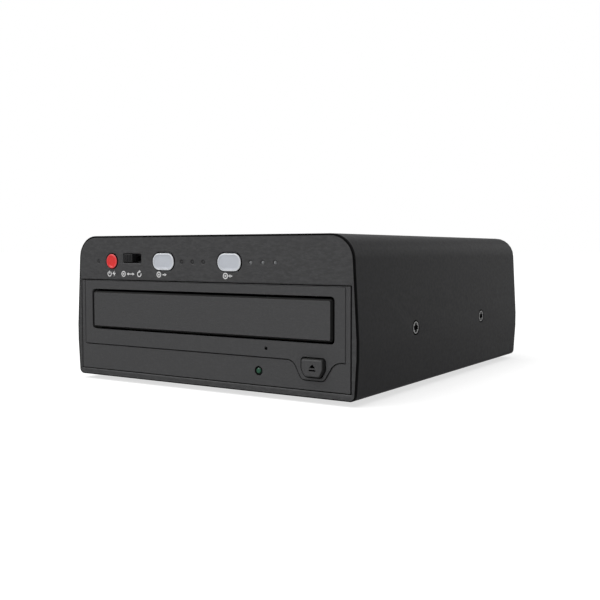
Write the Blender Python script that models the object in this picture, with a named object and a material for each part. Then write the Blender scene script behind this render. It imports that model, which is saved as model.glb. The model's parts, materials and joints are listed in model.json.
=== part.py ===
"""External optical drive: a half-height tray drive in a desktop case, with a control strip above the tray.

Every size is in millimetres, and each finished mesh is turned into metres. X runs to the right, Y to the
back and Z up. Pieces are placed in one of two frames, both level with the front face: the case frame has
Z = 0 on the table, and the drive frame has Z = 0 at the bottom edge of the drive's bezel.
"""

import bmesh
import bpy
from math import atan, ceil, cos, degrees, pi, radians, sin, sqrt, tan
from mathutils import Vector
from mathutils.geometry import tessellate_polygon

MM = 0.001

# ---- Driving dimensions -------------------------------------------------------------------------
CASE_DEPTH = 187.3  # front face to the cover's rear edge
CASE_BOTTOM = 2.0  # height of the case above the table
CASE_TOP = 68.0
BOTTOM_HALF_WIDTH = 76.05
WAIST_HALF_WIDTH = 77.3  # the sides are widest at the waist
WAIST_Z = 22.2
TOP_HALF_WIDTH = 74.7
CASE_RADII = [2.5, 2.5, 60.0, 10.5, 10.5, 60.0]
SHEET = 0.8  # cover, base and chassis sheet
GAP = 0.3  # air between pieces that touch on the real object
EJECT_PROUD = 1.8  # how far the eject button stands in front of the front face

FACE_THICKNESS = 2.0
LIP_THICKNESS = 0.8  # the front panel's outer lip
COVER_FRONT = 1.5  # the cover starts behind a shadow gap
SKIRT_BACK = 8.0
REAR_FACE = 185.3  # outer face of the rear panel
REAR_INSIDE = 184.1
REAR_SCREW_X = (-62.0, 66.0)
REAR_SCREW_Z = 36.0
FOOT_X = 56.0
FOOT_Y = {"front": 25.0, "rear": 165.0}

DRIVE_Z = 5.2  # bottom edge of the drive's bezel above the table
BEZEL_HALF_WIDTH = 74.0
BEZEL_HEIGHT = 42.0
BEZEL_BACK = 4.4
PLATEAU_STEP = 0.4  # the bezel's raised field stands this far in front of its border
PIN_HOLE_AT = (33.9, 15.5)  # the emergency release hole
LAMP_AT = (29.9, 5.85)
CHASSIS_HALF_WIDTH = 73.0
CHASSIS_FRONT = 5.0
CHASSIS_BACK = 170.0
CHASSIS_TOP = 41.7
SIDE_SCREW_Y = [53.5, 53.5 + 79.24]  # the standard pitch of a half-height drive
SIDE_SCREW_Z = 22.2

CONTROL_Z = 56.2  # height of the row of buttons and lights
POWER_X = -53.85
POWER_RADIUS = 3.35
READ_X = -22.0
WRITE_X = 14.95
KEY_SIZE = (12.4, 7.6)
KEY_RADIUS = 3.6
KEY_PROUD = 0.4
SWITCH_SLOT = (-46.5, 55.4, -35.5, 59.8)
SWITCH_TRAVEL = 5.2
POWER_LIGHT_X = -62.5
READ_LIGHTS_X = [-11.4, -5.3, 0.8]
WRITE_LIGHTS_X = [26.0, 32.2, 38.4]

TRAY_HALF_WIDTH = 64.8
TRAY_FRONT_HALF_WIDTH = 65.8
TRAY_OPENING = (-67.0, 18.9, 66.8, 37.9)
TRAY_LENGTH = (3.4, 163.0)
TRAY_TOP = 30.0
TRAY_FLOOR = 27.2  # floor of the 120 mm recess
TRAY_SMALL_FLOOR = 26.0  # floor of the 80 mm recess
TRAY_UNDERSIDE = 24.5
RAIL_BOTTOM = 20.9
DISC_Y = 71.0  # the disc's centre with the tray closed

RACK_MODULE = 1.0
PINION_TEETH = 16
WHEEL_MODULE = 1.0
WHEEL_TEETH = 28
SMALL_GEAR_TEETH = 14
PULLEY_RADIUS = 12.0
MOTOR_PULLEY_RADIUS = 3.0
PRESSURE_ANGLE = radians(20)
PINION_AT = (-46.0, 24.0)
PULLEY_AT = (PINION_AT[0] + WHEEL_MODULE * (WHEEL_TEETH + SMALL_GEAR_TEETH) / 2, PINION_AT[1])
MOTOR_AT = (8.0, 24.0)

ROD_X = 24.0
ROD_Z = 6.2
ROD_RADIUS = 1.5
LEAD_SCREW_X = 34.0
LENS_Y = 95.0

BOARD_THICKNESS = 1.6
MAIN_BOARD_Z = 53.0
CONTROL_BOARD_Y = 8.5
USB_X = 34.0
JACK_X = 52.0

FRONT_Y = EJECT_PROUD - (CASE_DEPTH + EJECT_PROUD) / 2  # centres the whole object on Y = 0

PLANES = {"X": (1, 2, 0), "Y": (0, 2, 1), "Z": (0, 1, 2)}


# ---- Outlines -----------------------------------------------------------------------------------
def rounded(corners, radii, turn=15.0):
    """A closed outline with an arc at each corner, one step for each `turn` degrees."""
    loop = []
    count = len(corners)
    for i in range(count):
        here = Vector(corners[i])
        if radii[i] <= 0:
            loop.append(tuple(here))
            continue
        a = (Vector(corners[i - 1]) - here).normalized()
        b = (Vector(corners[(i + 1) % count]) - here).normalized()
        half = a.angle(b) / 2
        centre = here + (a + b).normalized() * radii[i] / sin(half)
        start = here + a * radii[i] / tan(half) - centre
        end = here + b * radii[i] / tan(half) - centre
        sweep = start.angle(end)
        steps = max(1, ceil(degrees(sweep) / turn - 0.01))
        for k in range(steps + 1):
            t = k / steps
            arm = (start * sin((1 - t) * sweep) + end * sin(t * sweep)) / sin(sweep)
            loop.append(tuple(centre + arm))
    return loop


def rectangle(low_u, low_v, high_u, high_v, radius=0.0, turn=22.5):
    """An upright rectangle, with round corners if a radius is given."""
    corners = [(low_u, low_v), (high_u, low_v), (high_u, high_v), (low_u, high_v)]
    return rounded(corners, [radius] * 4, turn)


def centred(u, v, width, height, radius=0.0, turn=22.5):
    """A rectangle round its centre."""
    return rectangle(u - width / 2, v - height / 2, u + width / 2, v + height / 2, radius, turn)


def circle(u, v, radius, count=24):
    """A regular ring of points."""
    return [polar((u, v), radius, 2 * pi * k / count) for k in range(count)]


def inset(corners, distance):
    """The corners of an anticlockwise outline with every edge moved inwards."""
    count = len(corners)
    lines = []
    for i in range(count):
        start = Vector(corners[i])
        along = (Vector(corners[(i + 1) % count]) - start).normalized()
        lines.append((start + Vector((-along.y, along.x)) * distance, along))
    moved = []
    for i in range(count):
        (p, a), (q, b) = lines[i - 1], lines[i]
        t = (q - p).cross(b) / a.cross(b)
        moved.append(tuple(p + a * t))
    return moved


CASE_CORNERS = [
    (-BOTTOM_HALF_WIDTH, CASE_BOTTOM),
    (BOTTOM_HALF_WIDTH, CASE_BOTTOM),
    (WAIST_HALF_WIDTH, WAIST_Z),
    (TOP_HALF_WIDTH, CASE_TOP),
    (-TOP_HALF_WIDTH, CASE_TOP),
    (-WAIST_HALF_WIDTH, WAIST_Z),
]


def case_section(distance=0.0):
    """The case's section, moved inwards by a distance."""
    radii = [radius - distance for radius in CASE_RADII]
    return rounded(inset(CASE_CORNERS, distance), radii)


def involute(ratio):
    """The involute function of a flank point at `ratio` times the base radius."""
    reach = sqrt(max(ratio * ratio - 1, 0.0))
    return reach - atan(reach)


def gear_outline(teeth, module, centre, tooth_at, backlash=0.14):
    """A spur gear's outline with involute flanks, with one tooth centred on the angle `tooth_at`."""
    pitch = teeth * module / 2
    base = pitch * cos(PRESSURE_ANGLE)
    root = pitch - 1.15 * module
    tip = pitch + 0.8 * module
    half = pi / (2 * teeth) - backlash / (2 * pitch)
    flank = []
    for radius in (root, pitch, tip):
        swing = involute(pitch / base) - involute(max(radius, base) / base)
        flank.append((radius, half + swing))
    loop = []
    for k in range(teeth):
        middle = tooth_at + 2 * pi * k / teeth
        for radius, angle in flank:
            loop.append(polar(centre, radius, middle - angle))
        for radius, angle in reversed(flank):
            loop.append(polar(centre, radius, middle + angle))
    return loop


def polar(centre, radius, angle):
    """The point at a radius and an angle from a centre."""
    return (centre[0] + radius * cos(angle), centre[1] + radius * sin(angle))


def belt_outline(near, near_radius, far, far_radius, steps=10):
    """The loop of a belt round two pulleys that lie along X, the larger one first."""
    distance = far[0] - near[0]
    lean = pi / 2 - (near_radius - far_radius) / distance
    loop = []
    for k in range(steps + 1):
        loop.append(polar(far, far_radius, -lean + 2 * lean * k / steps))
    for k in range(steps + 1):
        loop.append(polar(near, near_radius, lean + 2 * (pi - lean) * k / steps))
    return loop


# ---- Solids -------------------------------------------------------------------------------------
def at(axis, u, v, w):
    """A point from (u, v) in the plane across an axis, and w along it."""
    point = [0.0, 0.0, 0.0]
    for place, value in zip(PLANES[axis], (u, v, w)):
        point[place] = value
    return point


def skin(bm, near, far):
    """Faces between two rings of vertices, either of which may be a single vertex."""
    count = max(len(near), len(far))
    for i in range(count):
        j = (i + 1) % count
        corners = [near[i % len(near)], near[j % len(near)], far[j % len(far)], far[i % len(far)]]
        bm.faces.new(list(dict.fromkeys(corners)))


def as_object(bm):
    """An object for a finished mesh, with its faces pointing out."""
    bmesh.ops.recalc_face_normals(bm, faces=bm.faces)
    mesh = bpy.data.meshes.new("solid")
    bm.to_mesh(mesh)
    bm.free()
    obj = bpy.data.objects.new("solid", mesh)
    bpy.context.scene.collection.objects.link(obj)
    return obj


def prism(loops, axis, low, high):
    """An outline, and any holes in it, extruded along an axis."""
    bm = bmesh.new()
    levels = []
    for w in (low, high):
        levels.append([[bm.verts.new(at(axis, u, v, w)) for u, v in loop] for loop in loops])
    for near, far in zip(*levels):
        skin(bm, near, far)
    triangles = tessellate_polygon([[Vector((u, v, 0)) for u, v in loop] for loop in loops])
    for level in levels:
        verts = [vert for ring in level for vert in ring]
        for triangle in triangles:
            bm.faces.new([verts[i] for i in triangle])
    return as_object(bm)


def box(low, high):
    """An upright box between two corners."""
    return prism([rectangle(low[0], low[1], high[0], high[1])], "Z", low[2], high[2])


def loft(sections, axis):
    """A solid through outlines with the same number of points, each at its place along an axis."""
    bm = bmesh.new()
    rings = [[bm.verts.new(at(axis, u, v, w)) for u, v in loop] for w, loop in sections]
    for near, far in zip(rings, rings[1:]):
        skin(bm, near, far)
    bm.faces.new(rings[0])
    bm.faces.new(rings[-1])
    return as_object(bm)


def turned(profile, axis, centre, count=24, ring=False):
    """A profile of (radius, place along the axis) turned round a centre; a ring profile closes on itself."""
    bm = bmesh.new()
    rings = []
    for radius, w in profile:
        points = circle(centre[0], centre[1], radius, count) if radius else [centre]
        rings.append([bm.verts.new(at(axis, u, v, w)) for u, v in points])
    pairs = list(zip(rings, rings[1:]))
    if ring:
        pairs.append((rings[-1], rings[0]))
    for near, far in pairs:
        skin(bm, near, far)
    return as_object(bm)


def rod(axis, centre, radius, low, high, count=12):
    """A plain round bar."""
    return turned([(0, low), (radius, low), (radius, high), (0, high)], axis, centre, count)


def combine(obj, tools, operation):
    """Cut the tools from an object, or join them to it, one after the other."""
    for tool in tools:
        modifier = obj.modifiers.new("combine", "BOOLEAN")
        modifier.operation = operation
        modifier.solver = "EXACT"
        modifier.object = tool
        depsgraph = bpy.context.evaluated_depsgraph_get()
        result = bpy.data.meshes.new_from_object(obj.evaluated_get(depsgraph))
        obj.modifiers.clear()
        obj.data = result
        bpy.data.objects.remove(tool)
    return obj


def cut(obj, *tools):
    return combine(obj, tools, "DIFFERENCE")


def join(obj, *tools):
    return combine(obj, tools, "UNION")


# ---- Materials and placing ----------------------------------------------------------------------
FINISHES = {
    "black_paint": ((0.028, 0.028, 0.030), 0.45, 0.0),
    "panel_plastic": ((0.058, 0.058, 0.060), 0.62, 0.0),
    "bezel_plastic": ((0.062, 0.062, 0.064), 0.60, 0.0),
    "dark_plastic": ((0.020, 0.020, 0.022), 0.50, 0.0),
    "grey_key": ((0.48, 0.50, 0.53), 0.35, 0.0),
    "red_key": ((0.70, 0.035, 0.030), 0.35, 0.0),
    "light_pipe": ((0.35, 0.36, 0.38), 0.25, 0.0),
    "green_lamp": ((0.03, 0.14, 0.08), 0.15, 0.0),
    "zinc_steel": ((0.52, 0.53, 0.55), 0.38, 1.0),
    "bright_steel": ((0.62, 0.62, 0.63), 0.22, 1.0),
    "screw_steel": ((0.09, 0.09, 0.095), 0.35, 1.0),
    "white_plastic": ((0.70, 0.70, 0.67), 0.45, 0.0),
    "board_green": ((0.02, 0.12, 0.05), 0.40, 0.0),
    "black_rubber": ((0.018, 0.018, 0.018), 0.85, 0.0),
    "lens_glass": ((0.55, 0.62, 0.80), 0.05, 0.0),
    "cable_sheath": ((0.30, 0.03, 0.03), 0.55, 0.0),
}


def finish(name):
    """The material of that name, made the first time it is asked for."""
    if name in bpy.data.materials:
        return bpy.data.materials[name]
    colour, roughness, metallic = FINISHES[name]
    made = bpy.data.materials.new(name)
    made.use_nodes = True
    shader = made.node_tree.nodes["Principled BSDF"]
    shader.inputs["Base Color"].default_value = (*colour, 1.0)
    shader.inputs["Roughness"].default_value = roughness
    shader.inputs["Metallic"].default_value = metallic
    return made


def frame(name, height):
    """An empty level with the front face, which pieces are placed from."""
    empty = bpy.data.objects.new(name, None)
    empty.location = (0.0, FRONT_Y * MM, height * MM)
    bpy.context.scene.collection.objects.link(empty)
    return empty


def place(obj, name, material, parent, pivot=(0.0, 0.0, 0.0)):
    """Name a solid, turn it into metres, and hang it on a frame with its origin at the pivot."""
    for vert in obj.data.vertices:
        vert.co = (vert.co - Vector(pivot)) * MM
    obj.name = name
    obj.data.name = name
    obj.data.materials.clear()
    obj.data.materials.append(finish(material))
    obj.data.shade_smooth()
    obj.data.set_sharp_from_angle(angle=radians(30))
    obj.location = Vector(pivot) * MM
    obj.parent = parent
    return obj


# ---- Case ---------------------------------------------------------------------------------------
def countersink(side, y, z):
    """The tool that cuts a flat screw's seat in the cover's side."""
    profile = [(0, side * 79.0), (5.5, side * 79.0), (2.5, side * 75.9), (2.5, side * 74.0), (0, side * 74.0)]
    return turned(profile, "X", (y, z))


def make_case_cover(case):
    """One sheet folded over the top and down both sides, with a lip turned in under the base."""
    lip = 64.0
    inner = inset(CASE_CORNERS, SHEET)
    inner_radii = [radius - SHEET for radius in CASE_RADII]
    outside = [(lip, CASE_BOTTOM)] + CASE_CORNERS[1:] + [CASE_CORNERS[0], (-lip, CASE_BOTTOM)]
    inside = [(-lip, CASE_BOTTOM + SHEET), inner[0]] + inner[:0:-1] + [(lip, CASE_BOTTOM + SHEET)]
    radii = [0.0] + CASE_RADII[1:] + [CASE_RADII[0], 0.0]
    radii += [0.0, inner_radii[0]] + inner_radii[:0:-1] + [0.0]
    cover = prism([rounded(outside + inside, radii)], "Y", COVER_FRONT, CASE_DEPTH)
    for side in (-1, 1):
        for y in SIDE_SCREW_Y:
            cut(cover, countersink(side, y, DRIVE_Z + SIDE_SCREW_Z))
    place(cover, "case_cover", "black_paint", case)


def make_front_panel(case):
    """The moulded face: a lip as wide as the case, a skirt that enters the cover, and the openings."""
    neck = SHEET + GAP
    panel = prism([case_section()], "Y", 0.0, LIP_THICKNESS)
    skirt = prism([case_section(neck)], "Y", LIP_THICKNESS / 2, SKIRT_BACK)
    cut(skirt, prism([case_section(neck + 1.2)], "Y", FACE_THICKNESS, SKIRT_BACK + 1))
    above_drive = DRIVE_Z + BEZEL_HEIGHT + 1.0
    cut(skirt, box((-80.0, FACE_THICKNESS, -1.0), (80.0, SKIRT_BACK + 1, above_drive)))
    join(panel, skirt)
    room = 0.4
    window = rectangle(
        -BEZEL_HALF_WIDTH - room,
        DRIVE_Z - room,
        BEZEL_HALF_WIDTH + room,
        DRIVE_Z + BEZEL_HEIGHT + room,
        0.6,
    )
    openings = [window, rectangle(*SWITCH_SLOT, 0.4), circle(POWER_X, CONTROL_Z, POWER_RADIUS + 0.35)]
    for x in (READ_X, WRITE_X):
        openings.append(centred(x, CONTROL_Z, KEY_SIZE[0] + 0.7, KEY_SIZE[1] + 0.7, KEY_RADIUS + 0.35))
    for x in [POWER_LIGHT_X] + READ_LIGHTS_X + WRITE_LIGHTS_X:
        openings.append(circle(x, CONTROL_Z, 0.95, 10))
    for loop in openings:
        cut(panel, prism([loop], "Y", -1.0, SKIRT_BACK + 1))
    place(panel, "front_panel", "panel_plastic", case)


def make_base_plate(case):
    """The flat floor over the cover's lips, with two rows of vent slots."""
    low = CASE_BOTTOM + SHEET + GAP
    loops = [rectangle(-74.2, FACE_THICKNESS + GAP, 74.2, CASE_DEPTH - 0.8)]
    for x in (-36.0, 36.0):
        for k in range(6):
            loops.append(centred(x, 70.0 + 9.0 * k, 30.0, 3.0, 1.0, 90))
    place(prism(loops, "Z", low, low + SHEET), "base_plate", "black_paint", case)


def make_rear_panel(case):
    """The back: sockets at the top right, two screws and a grid of vent slots."""
    outline = inset(CASE_CORNERS, SHEET + GAP)
    low = CASE_BOTTOM + 2 * SHEET + 2 * GAP
    outline[0] = (outline[0][0], low)
    outline[1] = (outline[1][0], low)
    radii = [0.9, 0.9] + [radius - SHEET - GAP for radius in CASE_RADII[2:]]
    board_top = MAIN_BOARD_Z + BOARD_THICKNESS + GAP
    loops = [rounded(outline, radii)]
    loops.append(rectangle(USB_X - 6.4, board_top - 0.3, USB_X + 6.4, board_top + 11.3, 0.3, 45))
    loops.append(rectangle(JACK_X - 4.9, board_top - 0.3, JACK_X + 4.9, board_top + 11.3, 0.3, 45))
    for x in REAR_SCREW_X:
        loops.append(circle(x, REAR_SCREW_Z, 1.8, 12))
    for row in range(3):
        for column in range(6):
            loops.append(centred(-40.0 + 16.0 * column, 16.0 + 8.0 * row, 11.0, 2.6, 0.9, 90))
    place(prism(loops, "Y", REAR_INSIDE, REAR_FACE), "rear_panel", "black_paint", case)


def make_feet(case):
    """Four round rubber feet."""
    top = CASE_BOTTOM + SHEET
    profile = [(0, 0), (6.0, 0), (6.8, 0.6), (7.0, 1.4), (7.0, top), (0, top)]
    for depth, y in FOOT_Y.items():
        for side, x in (("left", -FOOT_X), ("right", FOOT_X)):
            name = f"foot_{depth}_{side}"
            place(turned(profile, "Z", (x, y), 16), name, "black_rubber", case)


def cross_recess(axis, centre, low, high):
    """The two blades of a cross driver."""
    u, v = centre
    return [
        prism([centred(u, v, 3.4, 0.7)], axis, low, high),
        prism([centred(u, v, 0.7, 3.4)], axis, low, high),
    ]


def make_drive_screws(case):
    """Flat-headed screws through the cover's sides into the drive."""
    for side, hand in ((-1, "left"), (1, "right")):
        for k, y in enumerate(SIDE_SCREW_Y):
            centre = (y, DRIVE_Z + SIDE_SCREW_Z)
            profile = [(0, 76.75), (3.1, 76.75), (3.1, 76.55), (1.5, 74.95), (1.5, 71.3), (0, 71.3)]
            profile = [(radius, side * x) for radius, x in profile]
            screw = turned(profile, "X", centre, 16)
            recess = sorted((side * 75.6, side * 78.0))
            cut(screw, *cross_recess("X", centre, *recess))
            place(screw, f"drive_screw_{hand}_{k + 1}", "screw_steel", case)


def make_rear_screws(case):
    """Pan-headed screws in the rear panel."""
    for x, hand in zip(REAR_SCREW_X, ("left", "right")):
        face = REAR_FACE + GAP
        profile = [(0, 178.0), (1.5, 178.0), (1.5, face), (2.9, face), (2.9, face + 0.9), (2.2, face + 1.5)]
        screw = turned(profile + [(0, face + 1.5)], "Y", (x, REAR_SCREW_Z), 12)
        cut(screw, *cross_recess("Y", (x, REAR_SCREW_Z), face + 0.5, face + 3))
        place(screw, f"rear_screw_{hand}", "screw_steel", case)


# ---- Control strip ------------------------------------------------------------------------------
def make_key(name, x, size, radius, material, back, case, turn=22.5):
    """A push button with a chamfered face and a flange behind the panel."""
    edge = 0.5
    width, height = size
    face = centred(x, CONTROL_Z, width - 2 * edge, height - 2 * edge, radius - edge, turn)
    side = centred(x, CONTROL_Z, width, height, radius, turn)
    wide = centred(x, CONTROL_Z, width + 1.6, height + 1.6, radius + 0.8, turn)
    key = loft([(-KEY_PROUD, face), (edge - KEY_PROUD, side), (2.9, side)], "Y")
    join(key, prism([wide], "Y", FACE_THICKNESS + 0.4, back))
    place(key, name, material, case, (x, 0.0, CONTROL_Z))


def make_keys(case):
    """The round power key and the two wide keys."""
    diameter = 2 * POWER_RADIUS
    make_key("power_button", POWER_X, (diameter, diameter), POWER_RADIUS - 0.01, "red_key", 3.05, case)
    make_key("read_button", READ_X, KEY_SIZE, KEY_RADIUS, "grey_key", 3.5, case)
    make_key("write_button", WRITE_X, KEY_SIZE, KEY_RADIUS, "grey_key", 3.5, case)


def make_mode_switch(case):
    """A slide switch: a ribbed knob in the panel's slot, and the body it slides in."""
    left, low, right, high = SWITCH_SLOT
    middle = (low + high) / 2
    width = right - left - SWITCH_TRAVEL - 0.8
    start = left + 0.4
    knob = box((start, 0.2, low + 0.3), (start + width, 3.6, high - 0.3))
    for k in range(3):
        x = start + width * (k + 1) / 4
        join(knob, box((x - 0.35, -0.5, low + 0.5), (x + 0.35, 0.5, high - 0.5)))
    stem = start + width / 2
    join(knob, box((stem - 1.0, 3.3, middle - 0.7), (stem + 1.0, 6.5, middle + 0.7)))
    place(knob, "mode_switch_knob", "dark_plastic", case, (stem, 0.0, middle))
    body = box((left - 1.5, 4.0, middle - 3.0), (right + 1.5, 8.2, middle + 3.0))
    cut(body, box((stem - 1.5, 3.5, middle - 1.2), (stem + SWITCH_TRAVEL + 1.5, 7.2, middle + 1.2)))
    place(body, "mode_switch_body", "zinc_steel", case)


def make_tact_switches(case):
    """The small push switches behind the three keys."""
    for name, x in (("power", POWER_X), ("read", READ_X), ("write", WRITE_X)):
        switch = box((x - 3.0, 5.4, CONTROL_Z - 3.0), (x + 3.0, 8.2, CONTROL_Z + 3.0))
        join(switch, rod("Y", (x, CONTROL_Z), 1.7, 4.65, 6.0, 12))
        place(switch, f"{name}_tact_switch", "dark_plastic", case)


def make_light_guides(case):
    """Clear guides that carry the lights from the board to the face: one pip, and twice three pips."""
    for name, places in (("power", [POWER_LIGHT_X]), ("read", READ_LIGHTS_X), ("write", WRITE_LIGHTS_X)):
        guide = box((places[0] - 1.6, 3.0, CONTROL_Z - 1.5), (places[-1] + 1.6, 7.5, CONTROL_Z + 1.5))
        for x in places:
            join(guide, rod("Y", (x, CONTROL_Z), 0.65, 0.1, 4.0, 10))
        place(guide, f"{name}_light_guide", "light_pipe", case)


def make_control_board(case):
    """The upright board behind the keys."""
    back = CONTROL_BOARD_Y + BOARD_THICKNESS
    loop = rectangle(-67.0, 49.5, 44.0, 62.5, 1.0, 45)
    place(prism([loop], "Y", CONTROL_BOARD_Y, back), "control_board", "board_green", case)


# ---- Electronics above the drive ----------------------------------------------------------------
def make_main_board(case):
    """The board with the sockets, its bracket on top of the drive, and its large chip."""
    bracket = prism([rectangle(-60.0, 36.0, 60.0, 166.0, 3.0, 45)], "Z", 47.3, 48.3)
    for x in (-52.0, 52.0):
        for y in (48.0, 156.0):
            join(bracket, rod("Z", (x, y), 2.5, 47.8, MAIN_BOARD_Z - GAP, 12))
    place(bracket, "board_bracket", "zinc_steel", case)
    top = MAIN_BOARD_Z + BOARD_THICKNESS
    loops = [rectangle(-58.0, 40.0, 60.0, 183.5, 2.0, 45)]
    loops += [circle(x, y, 1.6, 12) for x in (-52.0, 52.0) for y in (48.0, 156.0)]
    place(prism(loops, "Z", MAIN_BOARD_Z, top), "main_board", "board_green", case)
    chip = box((-10.0, 92.0, top + GAP), (4.0, 106.0, top + GAP + 1.2))
    place(chip, "controller_chip", "dark_plastic", case)


def make_sockets(case):
    """The square USB socket and the power jack, both at the rear edge of the main board."""
    low = MAIN_BOARD_Z + BOARD_THICKNESS + GAP
    high = low + 10.9
    middle = (low + high) / 2
    face = REAR_FACE + 0.3
    usb = box((USB_X - 6.0, face - 16.0, low), (USB_X + 6.0, face, high))
    mouth = [(-4.2, -3.9), (4.2, -3.9), (4.2, 2.4), (2.7, 3.9), (-2.7, 3.9), (-4.2, 2.4)]
    cut(usb, prism([[(USB_X + x, middle + z) for x, z in mouth]], "Y", face - 9.0, face + 1))
    join(usb, box((USB_X - 2.8, face - 9.5, middle - 1.6), (USB_X + 2.8, face - 0.8, middle + 1.6)))
    place(usb, "usb_port", "bright_steel", case)
    jack = box((JACK_X - 4.5, face - 14.0, low), (JACK_X + 4.5, face, high))
    cut(jack, rod("Y", (JACK_X, middle), 3.15, face - 9.5, face + 1, 20))
    join(jack, rod("Y", (JACK_X, middle), 1.0, face - 10.0, face - 0.8, 12))
    place(jack, "dc_jack", "dark_plastic", case)


def make_cables(case):
    """The flat lead from the drive up to the main board, and the ribbon to the control board."""
    plug_z = DRIVE_Z + 6.8
    end = MAIN_BOARD_Z - 0.4
    path = [(171.6, plug_z - 0.6), (176.6, plug_z - 0.6), (176.6, end), (175.4, end)]
    path += [(175.4, plug_z + 0.6), (171.6, plug_z + 0.6)]
    data = prism([rounded(path, [0, 1.8, 0, 0, 0.6, 0])], "X", -34.0, -24.0)
    place(data, "data_cable", "cable_sheath", case)
    top = MAIN_BOARD_Z + BOARD_THICKNESS + GAP
    front = CONTROL_BOARD_Y + BOARD_THICKNESS + GAP
    path = [(front, 57.0), (28.0, 57.0), (38.0, top), (46.0, top), (46.0, top + 0.6), (38.2, top + 0.6)]
    path += [(28.2, 57.6), (front, 57.6)]
    ribbon = prism([path], "X", -8.0, 8.0)
    place(ribbon, "control_cable", "white_plastic", case)


# ---- Drive: bezel and chassis -------------------------------------------------------------------
def eject_outline(distance=0.0):
    """The eject button's shield shape, grown outwards by a distance."""
    corners = [(53.6, 5.4), (60.8, 5.4), (62.4, 8.6), (62.4, 12.8), (52.0, 12.8), (52.0, 8.6)]
    radii = [1.4, 1.4, 2.6, 1.1, 1.1, 2.6]
    return rounded(inset(corners, -distance), [radius + distance for radius in radii], 22.5)


def make_drive_bezel(drive):
    """The drive's face: a border, a raised field that dips round the eject button, and the openings."""
    border = rectangle(-BEZEL_HALF_WIDTH, 0, BEZEL_HALF_WIDTH, BEZEL_HEIGHT, 0.5)
    bezel = prism([border], "Y", PLATEAU_STEP, BEZEL_BACK)
    field = [(-71.6, 11.9), (47.2, 11.9), (51.4, 4.1), (61.8, 4.1), (66.7, 12.0), (71.6, 12.0)]
    field += [(71.6, BEZEL_HEIGHT - 0.2), (-71.6, BEZEL_HEIGHT - 0.2)]
    join(bezel, prism([rounded(field, [0.3, 5.0, 2.2, 2.2, 6.0, 0.3, 0.3, 0.3])], "Y", 0.0, 2.0))
    openings = [rectangle(*TRAY_OPENING, 1.8), eject_outline(0.45), circle(*PIN_HOLE_AT, 0.75, 12)]
    openings.append(circle(*LAMP_AT, 2.05, 20))
    for loop in openings:
        cut(bezel, prism([loop], "Y", -1.0, BEZEL_BACK + 1))
    place(bezel, "drive_bezel", "bezel_plastic", drive)


def make_eject_button(drive):
    """The button that opens the tray, with its stem."""
    face, edge = -EJECT_PROUD, 0.6
    button = loft([(face, eject_outline(-edge)), (face + edge, eject_outline()), (3.4, eject_outline())], "Y")
    join(button, box((54.8, 3.0, 8.0), (59.6, 7.6, 11.4)))
    place(button, "eject_button", "bezel_plastic", drive, (57.2, 0.0, 9.1))


def make_drive_lamp(drive):
    """The round green lamp in the bezel."""
    profile = [(0, -0.2), (1.2, -0.12), (1.75, 0.2), (1.75, 5.6), (0, 5.6)]
    place(turned(profile, "Y", LAMP_AT, 20), "drive_lamp", "green_lamp", drive)


def make_chassis_covers(drive):
    """The two folded sheets round the drive's mechanism."""
    half, low, high = CHASSIS_HALF_WIDTH, 0.4, 32.0
    path = [(-half, high), (-half, low), (half, low), (half, high)]
    inner = half - SHEET
    path += [(inner, high), (inner, low + SHEET), (-inner, low + SHEET), (-inner, high)]
    bottom = prism([path], "Y", CHASSIS_FRONT, CHASSIS_BACK)
    rear = box((-72.6, CHASSIS_BACK - SHEET, 0.8), (72.6, CHASSIS_BACK - 0.1, 31.6))
    cut(rear, box((-49.0, 160.0, 3.0), (-9.0, 175.0, 11.0)))
    join(bottom, rear)
    for side in (-1, 1):
        for y in SIDE_SCREW_Y:
            ends = sorted((side * 70.0, side * 75.0))
            cut(bottom, rod("X", (y, SIDE_SCREW_Z), 1.9, *ends))
    place(bottom, "drive_bottom_cover", "zinc_steel", drive)
    half = CHASSIS_HALF_WIDTH - SHEET - GAP
    top, low = CHASSIS_TOP, 30.0
    path = [(half, low), (half, top), (-half, top), (-half, low)]
    inner = half - SHEET
    path += [(-inner, low), (-inner, top - SHEET), (inner, top - SHEET), (inner, low)]
    cover = prism([path], "Y", CHASSIS_FRONT, CHASSIS_BACK - 2)
    place(cover, "drive_top_cover", "zinc_steel", drive)


def make_drive_frame(drive):
    """The moulded base: floor, side walls, the shelves that the tray slides on, and the gears' posts."""
    floor = [rectangle(-70.8, 9.0, 70.8, 168.0), rectangle(-65.5, 43.0, 65.5, 164.5)]
    base = prism(floor, "Z", 1.6, 3.2)
    for side in (-1, 1):
        u = sorted((side * 66.5, side * 70.6))
        join(base, box((u[0], 9.2, 2.0), (u[1], 167.8, 34.0)))
        u = sorted((side * 62.8, side * 67.0))
        join(base, box((u[0], 9.4, 18.6), (u[1], 166.0, 20.5)))
    join(base, rod("Z", PINION_AT, 1.5, 2.4, 23.8, 12))
    join(base, rod("Z", PULLEY_AT, 1.5, 2.4, 18.2, 12))
    place(base, "drive_frame", "dark_plastic", drive)


# ---- Drive: tray and loader ---------------------------------------------------------------------
def make_tray_front(drive):
    """The tray's face, with a bevel all round."""
    half, low, high, edge = TRAY_FRONT_HALF_WIDTH, 19.7, 36.9, 0.9
    outer = rectangle(-half, low, half, high, 1.3)
    inner = rectangle(edge - half, low + edge, half - edge, high - edge, 0.4)
    plate = loft([(-0.4, inner), (0.5, outer), (3.1, outer)], "Y")
    place(plate, "tray_front", "bezel_plastic", drive)


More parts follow.
